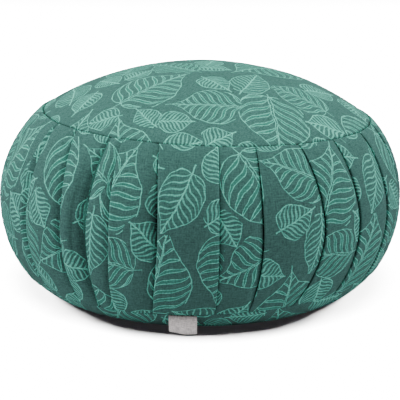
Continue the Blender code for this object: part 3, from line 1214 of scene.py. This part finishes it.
    def make(self) -> Material:
        """Make the material.

        Returns:
            The material.
        """
        recipe = Recipe(bpy.data.materials.new("printed_cotton"))
        place = recipe.cloth_mm()
        reach = 2.0 * self.wobble_mm
        shake = recipe.vector("SUBTRACT", recipe.noise(place, 0.06, 2.0, "Color"), (0.5, 0.5, 0.5))
        shake = recipe.vector("MULTIPLY", shake, (reach, reach, 0.0))
        own = self.pick_leaf(recipe, recipe.vector("ADD", place, shake))
        ink, tinted = self.draw_leaf(recipe, own, recipe.noise(place, 0.16, 1.0) * 1.2 + 0.4)
        weave = self.weave(place)
        weft, warp = recipe.streaks(place, 0.16, 0.95), recipe.streaks(place, 0.95, 0.16)
        grain, cloud = recipe.noise(place, 0.75, 3.0), recipe.noise(place, 0.02, 3.0)
        crease = recipe.node("ShaderNodeAttribute", {"attribute_name": CREASE_SHADING}, {}, "Fac")
        taken = ink * (grain * 0.7 + 0.58).clip() * (weave * 0.25 + 0.78).least(1.0)
        base = recipe.mix_colour(tinted, (*self.ground, 1.0), (*self.tint, 1.0))
        colour = recipe.mix_colour(taken, base, (*self.ink, 1.0))
        threads = weft * 0.85 + warp * 0.70 + (grain - 0.5)
        # Weave, threads and clouds vary the tone; the crease value adds painted highlight on folded
        # edges and painted shade in grooves, openings and seams
        level = (0.86 + weave * 0.12 + threads + (cloud - 0.5) * 0.16
                 + crease.most(0.0) * 0.20 + crease.least(0.0) * 0.55).most(0.05)
        return recipe.dress({
            "Base Color": recipe.shaded(colour, level),
            "Roughness": (grain - 0.5) * 0.12 - ink * 0.05 + self.roughness,
            "Normal": recipe.bump(weave * 0.5 + grain * 0.8 + weft * 0.5, 0.55, 0.00022),
            "Sheen Weight": self.sheen, "Sheen Roughness": 0.55,
            "Sheen Tint": (0.80, 1.0, 0.93, 1.0), "Specular IOR Level": 0.04,
        })


@dataclass(frozen=True)
class WovenTape:
    """Ribbed grey tape of the bare tab."""

    colour: tuple[float, float, float] = (0.93, 0.885, 0.87)
    rib_mm: float = 0.60
    seam_shadow_mm: float = 3.6            # how far the painted shadow under the seam reaches
    middle_mm: float = 11.25        # half the tape's width
    edge_mm: float = 0.85           # how wide its darker edges are
    roughness: float = 0.82

    def make(self) -> Material:
        """Make the material.

        Returns:
            The material.
        """
        recipe = Recipe(bpy.data.materials.new("woven_tape"))
        place = recipe.cloth_mm()
        x, y, _ = place.parts()
        rib = abs((y * (pi / self.rib_mm)).sine())
        cross = abs((x * (pi / (0.7 * self.rib_mm))).sine())
        grain = recipe.noise(place, 1.4, 3.0)
        weft, warp = recipe.streaks(place, 0.22, 1.5), recipe.streaks(place, 1.5, 0.22)
        edge = (abs(x - self.middle_mm) - self.middle_mm + self.edge_mm).clip()
        # Painted shadow under the seam: the tape darkens towards its top, where its warp streaks
        # also grow stronger
        seam_shadow_and_streaks = e ** (y / -self.seam_shadow_mm)
        level = (0.86 + rib * 0.10 + cross * 0.06 + (grain - 0.5) * 0.7 + weft * 1.3
                 + warp * (0.6 + seam_shadow_and_streaks * 1.6) - edge * 0.15).most(0.2) * (1.0 - seam_shadow_and_streaks * 0.80)
        return recipe.dress({
            "Base Color": recipe.shaded((*self.colour, 1.0), level),
            "Roughness": (grain - 0.5) * 0.15 + self.roughness,
            "Normal": recipe.bump(rib * 0.7 + cross * 0.3 + grain * 0.4, 0.6, 0.0002),
            "Sheen Weight": 0.2, "Specular IOR Level": 0.3,
        })


# --- Studio ---


@dataclass
class Studio:
    """Pale floor, soft lights and the camera."""

    look_at: tuple[float, float, float] = (0.0, 0.0, 0.0695)
    distance: float = 1.08
    elevation: float = 15.0
    lens: float = 106.65
    floor_size: float = 12.0
    floor_colour: tuple[float, float, float] = (0.42, 0.42, 0.42)
    shade_radius: float = 0.167     # of the floor's unlit patch under the cushion
    shade_z: float = 0.0002
    sky: float = 0.10               # light of the room from above
    below: float = 2.45             # and from just under the horizon

    def stage(self, name: str, inputs: dict[str, Any]) -> Object:
        """Name and dress a floor piece that was just added.

        Args:
            name: its name.
            inputs: values for its shader's sockets, by name.

        Returns:
            The piece.
        """
        piece = bpy.context.active_object
        piece.name = f"studio_{name}"
        piece.data.materials.append(Recipe(bpy.data.materials.new(name)).dress(inputs))
        return piece

    def floor(self) -> Object:
        """Add the plain pale floor.

        Returns:
            The floor.
        """
        bpy.ops.object.select_all(action="DESELECT")
        bpy.ops.mesh.primitive_plane_add(size=self.floor_size, location=(0.0, 0.0, 0.0))
        bpy.ops.object.mode_set(mode="EDIT")
        bpy.ops.mesh.select_all(action="SELECT")
        bpy.ops.mesh.subdivide(number_cuts=3)
        bpy.ops.object.mode_set(mode="OBJECT")
        ground = self.stage("floor", {"Base Color": (*self.floor_colour, 1.0), "Roughness": 0.9,
                                      "Specular IOR Level": 0.1})
        ground.visible_diffuse = ground.visible_glossy = False
        return ground

    def floor_shade(self) -> None:
        """Dark patch on the floor that keeps the room's light off the cushion's underside; its
        faint emission is a painted glow in the shade there.
        """
        bpy.ops.object.select_all(action="DESELECT")
        bpy.ops.mesh.primitive_circle_add(vertices=96, radius=self.shade_radius, fill_type="NGON",
                                          location=(0.0, 0.0, self.shade_z))
        patch = self.stage("floor_shade", {
            "Base Color": (0.0, 0.0, 0.0, 1.0), "Roughness": 1.0, "Specular IOR Level": 0.0,
            "Emission Color": (1.0, 0.98, 1.08, 1.0), "Emission Strength": 0.055})
        patch.visible_camera = patch.visible_shadow = False

    def hang(self, name: str, data: ID, place: Sequence[float]) -> Object:
        """Hang a light or camera, aimed at the cushion.

        Args:
            name: its name.
            data: the light or camera.
            place: where it hangs.

        Returns:
            The object.
        """
        thing = bpy.data.objects.new(name, data)
        thing.location = place
        aim = Vector(self.look_at) - Vector(place)
        thing.rotation_euler = aim.to_track_quat("-Z", "Y").to_euler()
        bpy.context.scene.collection.objects.link(thing)
        return thing

    def lights(self, pieces: Sequence[Object]) -> None:
        """Light the cushion and, apart from it, the floor.

        Args:
            pieces: the cushion's pieces.
        """
        ground = [self.floor()]
        self.floor_shade()
        white, greenish = (1.0, 1.0, 1.0), (0.88, 1.0, 0.93)
        for name, place, size, power, tone, onto in (
                ("floor_wash", (0.0, -0.64, 3.1), (3.0, 1.25), 5500.0, white, ground),
                ("floor_wash_left", (-2.4, 1.4, 1.3), (0.8, 0.8), 3100.0, white, ground),
                ("floor_wash_right", (2.4, 1.4, 1.3), (0.8, 0.8), 3100.0, white, ground),
                ("softbox_over", (0.0, 0.28, 1.9), (1.5, 1.5), 66.0, greenish, pieces),
                ("fill_left", (-2.1, -0.5, 0.20), (1.2, 1.2), 43.0, white, pieces),
                ("fill_right", (2.1, -0.5, 0.20), (1.2, 1.2), 31.0, white, pieces)):
            lamp = bpy.data.lights.new(name, "AREA")
            lamp.shape, lamp.energy, lamp.color = "RECTANGLE", power, tone
            lamp.size, lamp.size_y = size
            lit = bpy.data.collections.new(f"{name}_receivers")
            for piece in onto:
                lit.objects.link(piece)
            self.hang(name, lamp, place).light_linking.receiver_collection = lit

    def room(self) -> None:
        """Pale room around the cushion, brightest just under the horizon."""
        recipe = Recipe(bpy.data.worlds.new("pale_room"), "Background")
        up = recipe.node("ShaderNodeTexCoord", {}, {}, "Generated").parts()[2]
        light = (up * 4.0 + 0.5).clip() * (self.sky - self.below) + self.below
        bpy.context.scene.world = recipe.dress({
            "Color": (1.0, 0.955, 0.965, 1.0), "Strength": light * ((up + 0.61) * 2.0).clip()})

    def camera(self) -> None:
        """Camera at the photograph's angle."""
        data = bpy.data.cameras.new("photo_camera")
        data.lens, data.sensor_width = self.lens, 36.0
        data.clip_start, data.clip_end = 0.05, 50.0
        tilt = radians(self.elevation)
        back = Vector((0.0, -cos(tilt), sin(tilt)))
        place = Vector(self.look_at) + back * self.distance
        bpy.context.scene.camera = self.hang("photo_camera", data, place)


# --- Assembly ---


def attach(piece: Object, node: str) -> None:
    """Let a piece stand for a solid: it rides with the root body, and the solid is hidden.

    Args:
        piece: the piece.
        node: node of the solid.
    """
    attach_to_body(piece, "root")
    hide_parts(node)
    LOG.info("%s: %d faces, stands for %s", piece.name, len(piece.data.polygons), node)


def main() -> None:
    """Build the cushion piece by piece."""
    logging.basicConfig(level=logging.INFO, format="%(name)s: %(message)s")
    studio = Studio()
    studio.camera()
    cotton = PrintedCotton().make()
    cover = SideBand().build(cotton)
    attach(cover, "pleated_body")
    pieces = [cover]
    for panel in map(RoundPanel, Side):
        piece = panel.build(cotton)
        attach(piece, f"{panel.side.value}_panel")
        pieces.append(piece)
    tab = SeamTab()
    piece = tab.build(WovenTape().make())
    attach(piece, "seam_tab")
    studio.lights([*pieces, piece])
    studio.room()


if __name__ == "__main__":
    main()
